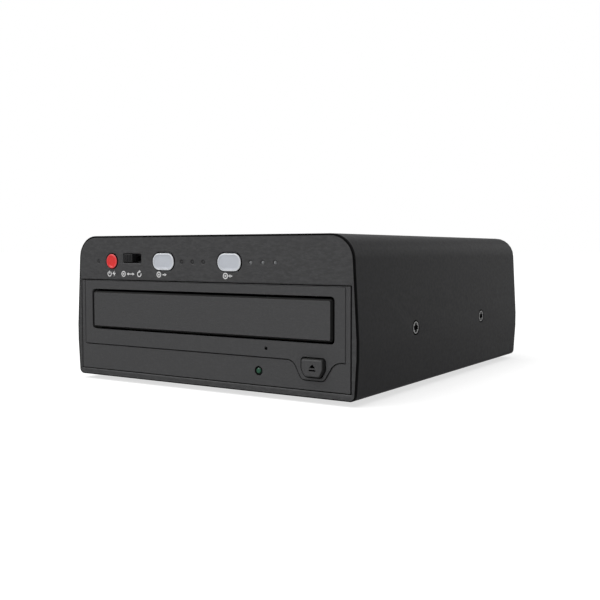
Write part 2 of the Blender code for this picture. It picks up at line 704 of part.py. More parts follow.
def rack_outline():
    """The rack under the tray: a bar along Y with teeth towards the pinion."""
    back = -59.0
    pitch_x = PINION_AT[0] - RACK_MODULE * PINION_TEETH / 2
    tip, root = pitch_x + 0.8 * RACK_MODULE, pitch_x - 1.15 * RACK_MODULE
    half = (pi * RACK_MODULE / 2 - 0.14) / 2
    half_tip = half - 0.8 * RACK_MODULE * tan(PRESSURE_ANGLE)
    half_root = half + 1.15 * RACK_MODULE * tan(PRESSURE_ANGLE)
    low, high = 12.0, TRAY_LENGTH[1] - 0.3
    loop = [(back, high), (back, low), (root, low)]
    first = ceil((low + 1.6 - PINION_AT[1]) / (pi * RACK_MODULE))
    last = int((high - 1.6 - PINION_AT[1]) / (pi * RACK_MODULE))
    for k in range(first, last + 1):
        y = PINION_AT[1] + k * pi * RACK_MODULE
        loop += [(root, y - half_root), (tip, y - half_tip), (tip, y + half_tip), (root, y + half_root)]
    loop.append((root, high))
    return loop


def make_disc_tray(drive):
    """The sliding tray: recesses for 120 mm and 80 mm discs, the slot for the lens, rails and rack."""
    near, far = TRAY_LENGTH
    half = TRAY_HALF_WIDTH
    corners = [(-half, near), (half, near), (half, far), (-half, far)]
    tray = prism([rounded(corners, [0.5, 0.5, 6.0, 6.0], 22.5)], "Z", TRAY_UNDERSIDE, TRAY_TOP)
    cut(tray, rod("Z", (0, DISC_Y), 60.4, TRAY_FLOOR, TRAY_TOP + 1, 48))
    cut(tray, rod("Z", (0, DISC_Y), 40.6, TRAY_SMALL_FLOOR, TRAY_FLOOR + 1, 32))
    slot = rectangle(-18.0, DISC_Y - 18.0, 18.0, DISC_Y + 63.0, 17.9)
    cut(tray, prism([slot], "Z", TRAY_UNDERSIDE - 1, TRAY_TOP + 1))
    for side in (-1, 1):
        u = sorted((side * 60.8, side * (half - 0.1)))
        join(tray, box((u[0], 8.0, RAIL_BOTTOM), (u[1], far - 7.0, TRAY_UNDERSIDE + 0.4)))
    join(tray, prism([rack_outline()], "Z", RAIL_BOTTOM, TRAY_UNDERSIDE + 0.4))
    place(tray, "disc_tray", "dark_plastic", drive)


def make_loading_gears(drive):
    """The pinion on its wheel, the small gear on its pulley, the motor and its pulley, and the belt."""
    wheel = prism([gear_outline(WHEEL_TEETH, WHEEL_MODULE, PINION_AT, 0.0)], "Z", 14.0, 18.4)
    pinion = prism([gear_outline(PINION_TEETH, RACK_MODULE, PINION_AT, pi / PINION_TEETH)], "Z", 18.0, 24.0)
    join(wheel, pinion)
    cut(wheel, rod("Z", PINION_AT, 1.8, 10.0, 26.0, 16))
    place(wheel, "tray_pinion", "white_plastic", drive, (*PINION_AT, 0.0))

    tooth_at = pi + pi / SMALL_GEAR_TEETH
    gear = prism([gear_outline(SMALL_GEAR_TEETH, WHEEL_MODULE, PULLEY_AT, tooth_at)], "Z", 13.0, 18.0)
    pulley = pulley_profile(PULLEY_RADIUS, 9.5) + [(8.8, 12.5), (8.8, 13.4), (0, 13.4)]
    join(gear, turned(pulley, "Z", PULLEY_AT, 24))
    cut(gear, rod("Z", PULLEY_AT, 1.8, 5.0, 26.0, 16))
    place(gear, "pulley_gear", "white_plastic", drive, (*PULLEY_AT, 0.0))

    shaft = [(0, 6.5), (0.8, 6.5), (0.8, 9.5)]
    small = turned(shaft + pulley_profile(MOTOR_PULLEY_RADIUS, 9.5)[1:] + [(0, 12.5)], "Z", MOTOR_AT, 14)
    place(small, "motor_pulley", "white_plastic", drive, (*MOTOR_AT, 0.0))
    can = [(0, 3.5), (9.0, 3.5), (9.0, 8.6), (8.4, 9.2), (1.1, 9.2), (1.1, 6.0), (0, 6.0)]
    place(turned(can, "Z", MOTOR_AT, 20), "loading_motor", "bright_steel", drive)

    inner = belt_outline(PULLEY_AT, PULLEY_RADIUS + 0.3, MOTOR_AT, MOTOR_PULLEY_RADIUS + 0.3)
    outer = belt_outline(PULLEY_AT, PULLEY_RADIUS + 1.4, MOTOR_AT, MOTOR_PULLEY_RADIUS + 1.4)
    place(prism([outer, inner], "Z", 10.45, 11.55), "drive_belt", "black_rubber", drive)


def pulley_profile(radius, low):
    """A grooved pulley's half section, 3 mm high."""
    rim = radius + 1.2
    groove = [(rim, low), (rim, low + 0.6), (radius, low + 0.6), (radius, low + 2.4), (rim, low + 2.4)]
    return [(0, low)] + groove + [(rim, low + 3.0)]


# ---- Drive: disc mechanism ----------------------------------------------------------------------
def make_traverse(drive):
    """The deck under the tray, which carries the spindle motor and the pickup's rods."""
    deck = [rectangle(-46.0, 46.0, 46.0, 150.0, 3.0), rectangle(-36.5, 83.6, 36.5, 144.5, 1.5)]
    deck += [circle(x, y, 2.0, 12) for x in (-41.0, 41.0) for y in (52.0, 145.0)]
    place(prism(deck, "Z", 8.0, 10.0), "traverse_deck", "zinc_steel", drive)
    for x, hand in ((-ROD_X, "left"), (ROD_X, "right")):
        bar = rod("Y", (x, ROD_Z), ROD_RADIUS, 80.0, 149.0)
        place(bar, f"guide_rod_{hand}", "bright_steel", drive)


def make_spindle(drive):
    """The spindle motor and the turntable on its shaft."""
    ring = [(1.3, 10.3), (12.0, 10.3), (12.0, 15.2), (10.8, 16.0), (1.3, 16.0)]
    place(turned(ring, "Z", (0, DISC_Y), 20, True), "spindle_motor", "bright_steel", drive)
    table = [(0, 12.0), (1.0, 12.0), (1.0, 16.4), (14.0, 16.4), (14.0, 17.6)]
    hub = [(7.3, 17.6), (7.3, 20.2), (5.0, 22.6), (0, 22.6)]
    table = turned(table + hub, "Z", (0, DISC_Y), 20)
    place(table, "turntable", "dark_plastic", drive, (0.0, DISC_Y, 0.0))


def make_pickup(drive):
    """The sled on its two rods, its lens, and the lead screw and motor that move it."""
    outline = [(-28.0, 3.8), (32.0, 3.8), (32.0, 8.6), (16.0, 8.6)]
    outline += [(16.0, 13.5), (-16.0, 13.5), (-16.0, 8.6), (-28.0, 8.6)]
    holes = [circle(x, ROD_Z, ROD_RADIUS + 0.35, 16) for x in (-ROD_X, ROD_X)]
    sled = prism([outline] + holes, "Y", LENS_Y - 11, LENS_Y + 11)
    place(sled, "pickup_sled", "dark_plastic", drive, (0.0, LENS_Y, ROD_Z))
    lens = [(0, 13.8), (4.0, 13.8), (4.0, 14.8), (3.0, 15.4), (1.8, 15.8), (0, 15.9)]
    place(turned(lens, "Z", (0, LENS_Y), 14), "pickup_lens", "lens_glass", drive)
    centre = (LEAD_SCREW_X, ROD_Z)
    screw = rod("Y", centre, 1.5, 80.0, 150.4)
    place(screw, "lead_screw", "bright_steel", drive, (LEAD_SCREW_X, 80.0, ROD_Z))
    can = [(0, 150.8), (4.4, 150.8), (4.4, 162.4), (3.8, 163.2), (0, 163.2)]
    place(turned(can, "Y", centre, 16), "sled_motor", "bright_steel", drive)


def make_clamp(drive):
    """The bridge over the tray and the free-turning clamp that holds the disc down."""
    bridge = prism([rectangle(-70.5, DISC_Y - 19, 70.5, DISC_Y + 19, 2.0, 45)], "Z", 37.0, 37.8)
    for side in (-1, 1):
        u = sorted((side * 67.0, side * 70.4))
        join(bridge, box((u[0], DISC_Y - 18, 34.4), (u[1], DISC_Y + 18, 37.4)))
    cut(bridge, rod("Z", (0, DISC_Y), 13.8, 30.0, 40.0, 28))
    place(bridge, "clamp_bridge", "zinc_steel", drive)
    puck = [(0, 32.4), (12.4, 32.4), (13.2, 33.2), (13.2, 38.3), (16.5, 38.3), (16.5, 39.3), (0, 39.3)]
    clamp = turned(puck, "Z", (0, DISC_Y), 24)
    place(clamp, "disc_clamp", "white_plastic", drive, (0.0, DISC_Y, 0.0))


def make_drive_electronics(drive):
    """The drive's own board and the connector at its rear."""
    board = prism([rectangle(-63.0, 100.0, 24.0, 163.6)], "Z", 1.8, 3.2)
    place(board, "drive_board", "board_green", drive)
    plug = box((-48.0, 160.0, 3.6), (-10.0, 171.2, 10.0))
    cut(plug, box((-46.5, 166.0, 5.0), (-11.5, 172.0, 8.6)))
    place(plug, "sata_connector", "dark_plastic", drive)


def main():
    for obj in list(bpy.data.objects):
        bpy.data.objects.remove(obj)
    case = frame("case_origin", 0.0)
    drive = frame("drive_origin", DRIVE_Z)
    for make in (make_case_cover, make_front_panel, make_base_plate, make_rear_panel, make_feet):
        make(case)
    for make in (make_drive_screws, make_rear_screws, make_keys, make_mode_switch, make_tact_switches):
        make(case)
    for make in (make_light_guides, make_control_board, make_main_board, make_sockets, make_cables):
        make(case)
    for make in (make_drive_bezel, make_eject_button, make_drive_lamp, make_chassis_covers, make_drive_frame):
        make(drive)
    for make in (make_tray_front, make_disc_tray, make_loading_gears, make_traverse, make_spindle):
        make(drive)
    for make in (make_pickup, make_clamp, make_drive_electronics):
        make(drive)


main()
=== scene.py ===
import json
from math import ceil, cos, degrees, floor, pi, radians, sin, tan

import bmesh
import bpy
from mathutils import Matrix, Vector
from mathutils.geometry import tessellate_polygon


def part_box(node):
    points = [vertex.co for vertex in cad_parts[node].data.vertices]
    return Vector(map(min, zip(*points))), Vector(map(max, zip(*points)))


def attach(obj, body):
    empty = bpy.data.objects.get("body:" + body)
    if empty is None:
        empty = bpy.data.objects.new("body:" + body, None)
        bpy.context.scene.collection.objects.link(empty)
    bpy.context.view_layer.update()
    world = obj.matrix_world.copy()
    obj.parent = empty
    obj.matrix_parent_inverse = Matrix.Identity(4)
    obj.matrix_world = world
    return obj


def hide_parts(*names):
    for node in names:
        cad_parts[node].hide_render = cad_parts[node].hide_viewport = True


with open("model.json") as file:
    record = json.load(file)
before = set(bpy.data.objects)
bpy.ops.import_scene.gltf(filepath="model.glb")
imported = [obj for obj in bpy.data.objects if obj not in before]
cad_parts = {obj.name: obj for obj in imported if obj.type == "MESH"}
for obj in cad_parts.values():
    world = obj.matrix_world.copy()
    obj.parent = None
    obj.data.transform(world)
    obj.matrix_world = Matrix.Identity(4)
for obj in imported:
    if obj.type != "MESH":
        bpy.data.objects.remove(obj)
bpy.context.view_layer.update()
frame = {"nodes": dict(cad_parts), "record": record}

# Pieces are drawn in millimetres: x to the right, depth behind the front face, height above the table.
MM = 0.001
FACE_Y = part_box("front_panel")[0].y / MM
DRIVE_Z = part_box("drive_bezel")[0].z / MM
ARC_STEP = 9.0  # degrees of a rounded corner that one edge spans
PLANES = {"X": (1, 2, 0), "Y": (0, 2, 1), "Z": (0, 1, 2)}  # where u, v and w lie for each axis


# ---- Outlines ------------------------------------------------------------------------------------
def rounded(corners, radii):
    """A closed outline with an arc at each corner."""
    loop = []
    count = len(corners)
    for i in range(count):
        here = Vector(corners[i])
        if radii[i] <= 0:
            loop.append(tuple(here))
            continue
        a = (Vector(corners[i - 1]) - here).normalized()
        b = (Vector(corners[(i + 1) % count]) - here).normalized()
        half = a.angle(b) / 2
        centre = here + (a + b).normalized() * radii[i] / sin(half)
        start = here + a * radii[i] / tan(half) - centre
        end = here + b * radii[i] / tan(half) - centre
        sweep = start.angle(end)
        steps = max(1, ceil(degrees(sweep) / ARC_STEP - 0.01))
        for k in range(steps + 1):
            t = k / steps
            arm = (start * sin((1 - t) * sweep) + end * sin(t * sweep)) / sin(sweep)
            loop.append(tuple(centre + arm))
    return loop


def rectangle(low_u, low_v, high_u, high_v, radius=0.0):
    """An upright rectangle, with round corners if a radius is given."""
    corners = [(low_u, low_v), (high_u, low_v), (high_u, high_v), (low_u, high_v)]
    return rounded(corners, [radius] * 4)


def centred(u, v, width, height, radius=0.0):
    """A rectangle round its centre."""
    return rectangle(u - width / 2, v - height / 2, u + width / 2, v + height / 2, radius)


def circle(u, v, radius, count=36):
    """A ring of points."""
    turns = [2 * pi * k / count for k in range(count)]
    return [(u + radius * cos(turn), v + radius * sin(turn)) for turn in turns]


def grown(loop, distance):
    """An anticlockwise outline with every edge moved outwards."""
    if abs(distance) < 1e-9:
        return list(loop)
    count = len(loop)
    lines = []
    for i in range(count):
        start = Vector(loop[i])
        along = (Vector(loop[(i + 1) % count]) - start).normalized()
        lines.append((start + Vector((along.y, -along.x)) * distance, along))
    moved = []
    for i in range(count):
        (p, a), (q, b) = lines[i - 1], lines[i]
        turn = a.cross(b)
        moved.append(tuple(q if abs(turn) < 1e-6 else p + a * ((q - p).cross(b) / turn)))
    return moved


def shifted(loop, du, dv):
    """An outline moved in its plane."""
    return [(u + du, v + dv) for u, v in loop]


# ---- Solids --------------------------------------------------------------------------------------
def at(axis, u, v, w):
    """A point from (u, v) in the plane across an axis, and w along it."""
    point = [0.0, 0.0, 0.0]
    for place, value in zip(PLANES[axis], (u, v, w)):
        point[place] = value
    return point


def skin(bm, near, far):
    """Faces between two rings of vertices, either of which may be a single vertex."""
    count = max(len(near), len(far))
    made = []
    for i in range(count):
        j = (i + 1) % count
        corners = [near[i % len(near)], near[j % len(near)], far[j % len(far)], far[i % len(far)]]
        made.append(bm.faces.new(list(dict.fromkeys(corners))))
    return made


def slab(bm, loops, levels, axis="Y", turns=()):
    """An outline and its holes carried along an axis: each level is (place, how far the edges draw in).

    The first loop may be a function that gives the outline for a draw. The outline's sides take the
    piece's next look at each level in `turns`.
    """
    rings = []
    flat = []
    for w, draw in levels:
        outer = loops[0](draw) if callable(loops[0]) else grown(loops[0], -draw)
        outlines = [outer] + [grown(loop, draw) for loop in loops[1:]]
        rings.append([[bm.verts.new(at(axis, u, v, w)) for u, v in outline] for outline in outlines])
        flat.append(outlines)
    made = []
    for k, (near, far) in enumerate(zip(rings, rings[1:])):
        for a, b in zip(near, far):
            faces = skin(bm, a, b)
            for face in faces if a is near[0] else []:
                face.material_index = sum(k >= level for level in turns)
            made += faces
    for k in (0, -1):
        verts = [vert for ring in rings[k] for vert in ring]
        shape = [[Vector((u, v, 0)) for u, v in outline] for outline in flat[k]]
        made += [bm.faces.new([verts[i] for i in triangle]) for triangle in tessellate_polygon(shape)]
    bmesh.ops.recalc_face_normals(bm, faces=made)
    return made


def eased(low, high, near, far=0.0, steps=3):
    """Levels from low to high with the edge rounded by `near` at the low end and `far` at the high end."""
    levels = []
    for k in range(steps + 1 if near else 1):
        t = pi / 2 * k / steps
        levels.append((low + near * (1 - cos(t)), near * (1 - sin(t))))
    for k in range(steps + 1 if far else 1):
        t = pi / 2 * (1 - k / steps)
        levels.append((high - far * (1 - cos(t)), far * (1 - sin(t))))
    return levels


def turned(bm, profile, axis, centre, count=36, ring=False):
    """A profile of (radius, place along the axis) turned round a centre; a ring's profile is closed."""
    rings = []
    for radius, w in profile:
        points = circle(centre[0], centre[1], radius, count) if radius else [centre]
        rings.append([bm.verts.new(at(axis, u, v, w)) for u, v in points])
    pairs = list(zip(rings, rings[1:]))
    if ring:
        pairs.append((rings[-1], rings[0]))
    made = []
    for near, far in pairs:
        made += skin(bm, near, far)
    bmesh.ops.recalc_face_normals(bm, faces=made)
    return made


def block(bm, low, high, edge):
    """A box with its upright and upper edges eased."""
    outline = rectangle(low[0], low[1], high[0], high[1], edge)
    return slab(bm, [outline], eased(low[2], high[2], 0.0, edge, 2), "Z")


def piece(name, bm, body, look, nodes=(), height=0.0, sharp=35.0):
    """Turns a drawn mesh into a piece in metres that rides on a body and stands for CAD nodes."""
    mesh = bpy.data.meshes.new(name)
    bm.to_mesh(mesh)
    bm.free()
    for vert in mesh.vertices:
        vert.co = (vert.co + Vector((0.0, FACE_Y, height))) * MM
    obj = bpy.data.objects.new(name, mesh)
    bpy.context.scene.collection.objects.link(obj)
    for made in look if isinstance(look, (list, tuple)) else [look]:
        mesh.materials.append(made)
    mesh.shade_smooth()
    mesh.set_sharp_from_angle(angle=radians(sharp))
    weight = obj.modifiers.new("normals", "WEIGHTED_NORMAL")
    weight.keep_sharp = True
    weight.weight = 90
    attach(obj, body)
    if nodes:
        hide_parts(*nodes)
    return obj


# ---- Materials -----------------------------------------------------------------------------------
class Look:
    """A Principled material whose colour, roughness and bump come from noise over the piece."""

    def __init__(self, name, colour, roughness, metallic=0.0, specular=0.5):
        self.material = bpy.data.materials.new(name)
        self.material.use_nodes = True
        self.tree = self.material.node_tree
        self.shader = self.tree.nodes["Principled BSDF"]
        self.shader.inputs["Base Color"].default_value = (*colour, 1.0)
        self.shader.inputs["Roughness"].default_value = roughness
        self.shader.inputs["Metallic"].default_value = metallic
        self.shader.inputs["Specular IOR Level"].default_value = specular
        self.colour = colour
        self.roughness = roughness
        self.place = self.tree.nodes.new("ShaderNodeTexCoord").outputs["Object"]
        self.normal = None

    def link(self, source, target):
        """Joins one node's output to another's input."""
        self.tree.links.new(source, target)

    def stretch(self, scale):
        """The piece's own coordinates, scaled along each axis."""
        mapping = self.tree.nodes.new("ShaderNodeMapping")
        mapping.inputs["Scale"].default_value = scale
        self.link(self.place, mapping.inputs["Vector"])
        return mapping.outputs["Vector"]

    def noise(self, scale, detail, vector=None):
        """A noise texture's value; scale is in spots for each metre."""
        node = self.tree.nodes.new("ShaderNodeTexNoise")
        node.inputs["Scale"].default_value = scale
        node.inputs["Detail"].default_value = detail
        self.link(vector or self.place, node.inputs["Vector"])
        return node.outputs["Fac"]

    def cells(self, scale, metric="EUCLIDEAN"):
        """How far the nearest of some scattered points is; CHEBYCHEV measures in squares."""
        node = self.tree.nodes.new("ShaderNodeTexVoronoi")
        node.distance = metric
        node.inputs["Scale"].default_value = scale
        self.link(self.place, node.inputs["Vector"])
        return node.outputs["Distance"]

    def bands(self, value, width):
        """A value folded into stripes: it rises from 0 to 1 and falls again over each two widths."""
        node = self.tree.nodes.new("ShaderNodeMath")
        node.operation = "PINGPONG"
        node.inputs[1].default_value = width
        self.link(value, node.inputs[0])
        return self.ramp(node.outputs["Value"], 0.0, width, 0.0, 1.0)

    def ramp(self, value, low, high, start, end):
        """A value spread from one range to another."""
        node = self.tree.nodes.new("ShaderNodeMapRange")
        for key, number in zip(("From Min", "From Max", "To Min", "To Max"), (low, high, start, end)):
            node.inputs[key].default_value = number
        self.link(value, node.inputs["Value"])
        return node.outputs["Result"]

    def tint(self, value, other):
        """The base colour goes to another colour where the value is high."""
        node = self.tree.nodes.new("ShaderNodeMix")
        node.data_type = "RGBA"
        colours = [socket for socket in node.inputs if socket.type == "RGBA"]
        colours[0].default_value = (*self.colour, 1.0)
        colours[1].default_value = (*other, 1.0)
        source = self.shader.inputs["Base Color"]
        if source.is_linked:
            self.link(source.links[0].from_socket, colours[0])
        self.link(self.ramp(value, 0.35, 0.65, 0.0, 1.0), node.inputs[0])
        self.link([socket for socket in node.outputs if socket.type == "RGBA"][0], source)
        return self

    def mottle(self, value, share):
        """A slight variation of the base colour."""
        darker = tuple(c * (1 - share) for c in self.colour)
        return self.tint(value, darker)

    def rough(self, value, spread):
        """Roughness that varies round its middle."""
        made = self.ramp(value, 0.3, 0.7, self.roughness - spread, self.roughness + spread)
        self.link(made, self.shader.inputs["Roughness"])
        return self

    def bump(self, value, height):
        """Relief of a real height in metres."""
        node = self.tree.nodes.new("ShaderNodeBump")
        node.inputs["Strength"].default_value = 1.0
        node.inputs["Distance"].default_value = height
        self.link(value, node.inputs["Height"])
        if self.normal:
            self.link(self.normal, node.inputs["Normal"])
        self.normal = node.outputs["Normal"]
        self.link(self.normal, self.shader.inputs["Normal"])
        return self


def moulded(name, colour, roughness, grain=0.00003, specular=0.4, share=0.14, ripple=0.0):
    """Moulded plastic with a spark-eroded grain, and flow ripples that lie along X."""
    look = Look(name, colour, roughness, 0.0, specular)
    fine = look.noise(2600.0, 4.0)
    look.mottle(look.noise(900.0, 5.0), share)
    if ripple:
        flow = look.noise(1.0, 1.5, look.stretch((480.0, 480.0, 1250.0)))
        look.mottle(flow, ripple)
        look.bump(flow, grain * 1.5)
    look.rough(fine, 0.06)
    look.bump(fine, grain)
    look.bump(look.cells(1500.0), grain * 0.6)
    return look.material


def glossy(name, colour, roughness):
    """Smooth plastic of the small parts."""
    look = Look(name, colour, roughness, 0.0, 0.5)
    look.mottle(look.noise(160.0, 3.0), 0.06)
    look.rough(look.noise(600.0, 3.0), 0.05)
    look.bump(look.noise(1800.0, 2.0), 0.000006)
    return look.material


def powder_paint():
    """Satin black powder paint over folded steel."""
    look = Look("powder_paint", (0.016, 0.016, 0.017), 0.42, 0.0, 0.42)
    look.mottle(look.noise(240.0, 4.0), 0.12)
    look.rough(look.noise(700.0, 3.0), 0.05)
    look.bump(look.noise(900.0, 3.0), 0.000016)
    look.bump(look.noise(3200.0, 2.0), 0.000006)
    return look.material


def brushed(name, colour, roughness, scale):
    """Metal with fine scratches along the axis that has the smallest scale."""
    look = Look(name, colour, roughness, 1.0)
    lines = look.noise(1.0, 4.0, look.stretch(scale))
    look.mottle(look.noise(90.0, 3.0), 0.12)
    look.rough(lines, 0.07)
    look.bump(lines, 0.000008)
    return look.material


def zinc_sheet():
    """Zinc-plated sheet with the faint lines of the rolls along Y."""
    look = Look("zinc_sheet", (0.50, 0.51, 0.53), 0.38, 1.0)
    lines = look.noise(1.0, 4.0, look.stretch((1100.0, 25.0, 1100.0)))
    look.mottle(look.noise(70.0, 5.0), 0.08)
    look.mottle(lines, 0.06)
    look.rough(lines, 0.07)
    look.bump(look.noise(1800.0, 3.0), 0.000006)
    return look.material


def circuit_board():
    """Solder mask over square-cornered traces 0.5 mm apart, with scattered plated holes."""
    look = Look("circuit_board", (0.010, 0.062, 0.026), 0.34, 0.0, 0.5)
    traces = look.ramp(look.bands(look.cells(70.0, "CHEBYCHEV"), 0.018), 0.45, 0.6, 0.0, 1.0)
    holes = look.ramp(look.cells(240.0), 0.14, 0.17, 1.0, 0.0)
    look.tint(traces, (0.020, 0.112, 0.046))
    look.tint(holes, (0.42, 0.40, 0.30))
    look.rough(look.noise(500.0, 3.0), 0.06)
    look.bump(traces, 0.00003)
    return look.material


def rubber():
    """Dull black rubber with a coarse grain."""
    look = Look("foot_rubber", (0.014, 0.014, 0.014), 0.86, 0.0, 0.25)
    look.mottle(look.noise(500.0, 4.0), 0.25)
    look.rough(look.noise(900.0, 3.0), 0.06)
    look.bump(look.noise(1600.0, 4.0), 0.00003)
    return look.material


def clear(name, colour, roughness, share):
    """Clear or tinted plastic and glass."""
    look = Look(name, colour, roughness)
    look.shader.inputs["Transmission Weight"].default_value = share
    look.shader.inputs["IOR"].default_value = 1.49
    look.mottle(look.noise(400.0, 2.0), 0.08)
    look.bump(look.noise(900.0, 2.0), 0.000006)
    return look.material


def sheath():
    """The ribbed sheath of a flat lead."""
    look = Look("lead_sheath", (0.26, 0.022, 0.020), 0.5, 0.0, 0.45)
    ribs = look.noise(1.0, 1.0, look.stretch((1400.0, 6.0, 6.0)))
    look.mottle(ribs, 0.25)
    look.rough(look.noise(700.0, 3.0), 0.05)
    look.bump(ribs, 0.00005)
    return look.material


# The looks of the record's material slots, and those that only the pieces drawn here have.
LOOKS = {
    "panel_plastic": moulded("panel_grain", (0.0475, 0.0475, 0.049), 0.60, ripple=0.28),
    "bezel_plastic": moulded("bezel_grain", (0.0500, 0.0500, 0.0515), 0.58, ripple=0.12),
    "dark_plastic": moulded("black_plastic", (0.017, 0.017, 0.018), 0.50, 0.00002),
    "white_plastic": moulded("white_acetal", (0.68, 0.68, 0.64), 0.42, 0.00001, 0.4, 0.04),
    "grey_key": glossy("grey_key_plastic", (0.44, 0.46, 0.50), 0.36),
    "red_key": glossy("red_key_plastic", (0.64, 0.029, 0.028), 0.32),
    "black_paint": powder_paint(),
    "zinc_steel": zinc_sheet(),
    "bright_steel": brushed("bright_steel", (0.60, 0.60, 0.61), 0.24, (900.0, 30.0, 900.0)),
    "screw_steel": brushed("black_screw_steel", (0.13, 0.13, 0.135), 0.32, (400.0, 400.0, 60.0)),
    "board_green": circuit_board(),
    "black_rubber": rubber(),
    "light_pipe": clear("light_pipe_acrylic", (0.21, 0.215, 0.22), 0.4, 0.2),
    "green_lamp": clear("green_lamp_lens", (0.022, 0.085, 0.050), 0.3, 0.15),
    "lens_glass": clear("coated_lens", (0.50, 0.58, 0.85), 0.04, 0.8),
    "cable_sheath": sheath(),
}
EXTRA = {
    "print": glossy("printed_grey", (0.58, 0.58, 0.58), 0.5),
    "dark_print": glossy("printed_dark", (0.033, 0.033, 0.033), 0.8),
    "smoked": moulded("smoked_acrylic", (0.042, 0.042, 0.043), 0.65, 0.00001, 0.2),
    # Plating whose face is lightened as a painted highlight on the screw heads.
    "plating_and_highlight": moulded("plating_and_painted_highlight", (0.27, 0.27, 0.27), 0.45, 0.00001),
    # Painted shadow: near-black for the edges, gaps and recesses where shade falls.
    "shadow_edge": moulded("painted_shadow_edge", (0.004, 0.004, 0.004), 0.7, 0.00001, 0.04),
    # Painted shade: a darker look for the tray face's bevels.
    "painted_shade_bevel": moulded("bevel_painted_shade", (0.0125, 0.0125, 0.0125), 0.62, 0.00001, 0.1),
    # Painted shade: a darker look for the eject button's sides.
    "key_wall_painted_shade": moulded("key_wall_painted_shade", (0.021, 0.021, 0.021), 0.6, 0.00001, 0.2),
    # Painted highlight: lighter rims for the grey and red keys.
    "grey_rim": glossy("grey_key_rim", (0.62, 0.64, 0.67), 0.36),
    "red_rim": glossy("red_key_rim", (0.74, 0.065, 0.070), 0.34),
    "gold": brushed("gold_contact", (0.83, 0.58, 0.24), 0.25, (900.0, 60.0, 900.0)),
    "copper": brushed("copper_wire", (0.72, 0.32, 0.16), 0.3, (900.0, 900.0, 60.0)),
    "solder": brushed("solder_tin", (0.70, 0.70, 0.70), 0.3, (300.0, 300.0, 300.0)),
    "resin": glossy("chip_resin", (0.020, 0.020, 0.021), 0.46),
    "ceramic": glossy("ceramic_tan", (0.36, 0.25, 0.15), 0.5),
    "steel_can": brushed("capacitor_can", (0.66, 0.66, 0.67), 0.28, (60.0, 60.0, 900.0)),
}


# ---- CAD nodes that stay -------------------------------------------------------------------------
EASED = {"case_cover": 0.12, "disc_tray": 0.22, "foot": 0.2, "turntable": 0.12, "disc_clamp": 0.15}
EASED_OTHERS = 0.08


def dress_cad_nodes():
    """The finish of every CAD node, with its edges eased so that they catch the light."""
    slots = {entry["node"]: entry["material_slot"] for entry in frame["record"]["subparts"]}
    for name, node in frame["nodes"].items():
        made = LOOKS[slots[name]]
        if not node.material_slots:
            node.data.materials.append(made)
        for entry in node.material_slots:
            entry.material = made
        node.data.shade_smooth()
        node.modifiers.new("weld", "WELD").merge_threshold = 0.00001
        ease = node.modifiers.new("ease", "BEVEL")
        widths = [width for start, width in EASED.items() if name.startswith(start)]
        ease.width = (widths + [EASED_OTHERS])[0] * MM
        ease.segments = 2
        ease.limit_method = "ANGLE"
        ease.angle_limit = radians(50)
        ease.harden_normals = False
        node.modifiers.new("normals", "WEIGHTED_NORMAL").keep_sharp = False


# ---- Front panel ---------------------------------------------------------------------------------
CONTROL_Z = 56.2
POWER_X, POWER_RADIUS = -53.85, 3.35
READ_X, WRITE_X = -22.0, 14.95
KEY_SIZE, KEY_RADIUS = (12.4, 7.6), 3.6
SWITCH_SLOT = (-46.5, 55.4, -35.5, 59.8)
LIGHTS = {"power": [-62.5], "read": [-11.4, -5.3, 0.8], "write": [26.0, 32.2, 38.4]}
LIGHT_RADIUS = {"power": 0.7, "read": 0.75, "write": 0.72}
KEY_GAP, LIGHT_GAP = 0.42, 0.1
BEZEL = (-74.0, 0.0, 73.8, 42.0)  # its heights are above the drive's underside
SIGN_Z = 50.4
REAR_SCREWS = {"left": -62.0, "right": 66.0}
REAR_SCREW_Z = 36.0


def case_section():
    """The outline of the case seen from the front."""
    corners = [(-76.05, 2.0), (76.05, 2.0), (77.3, 22.2), (74.7, 68.0), (-74.7, 68.0), (-77.3, 22.2)]
    return rounded(corners, [2.5, 2.5, 60.0, 10.5, 10.5, 60.0])


def panel_outline(draw):
    """The case's outline drawn in, which slopes more along the top and the left."""
    extra = 0.7
    top_start, top_fade = 57.0, 10.0
    left_start, left_fade = 66.0, 8.0
    loop = []
    for u, v in grown(case_section(), -draw):
        top = max(0.0, min(1.0, (v - top_start) / top_fade))
        left = max(0.0, min(1.0, (-u - left_start) / left_fade))
        loop.append((u + extra * draw * left, v - extra * draw * top))
    return loop


def panel_openings():
    """The window for the drive, the switch's slot, the keys' holes and the lights' holes."""
    left, low, right, high = BEZEL
    left_gap, right_gap, height_gap = 0.25, 0.65, 0.4
    low, high = DRIVE_Z + low - height_gap, DRIVE_Z + high + height_gap
    window = rectangle(left - left_gap, low, right + right_gap, high, 0.15)
    loops = [window, rectangle(*SWITCH_SLOT, 0.4)]
    loops.append(circle(POWER_X, CONTROL_Z, POWER_RADIUS + KEY_GAP))
    width, height = [size + 2 * KEY_GAP for size in KEY_SIZE]
    for x in (READ_X, WRITE_X):
        loops.append(centred(x, CONTROL_Z, width, height, KEY_RADIUS + KEY_GAP))
    for name, places in LIGHTS.items():
        loops += [circle(x, CONTROL_Z, LIGHT_RADIUS[name] + LIGHT_GAP, 20) for x in places]
    return loops


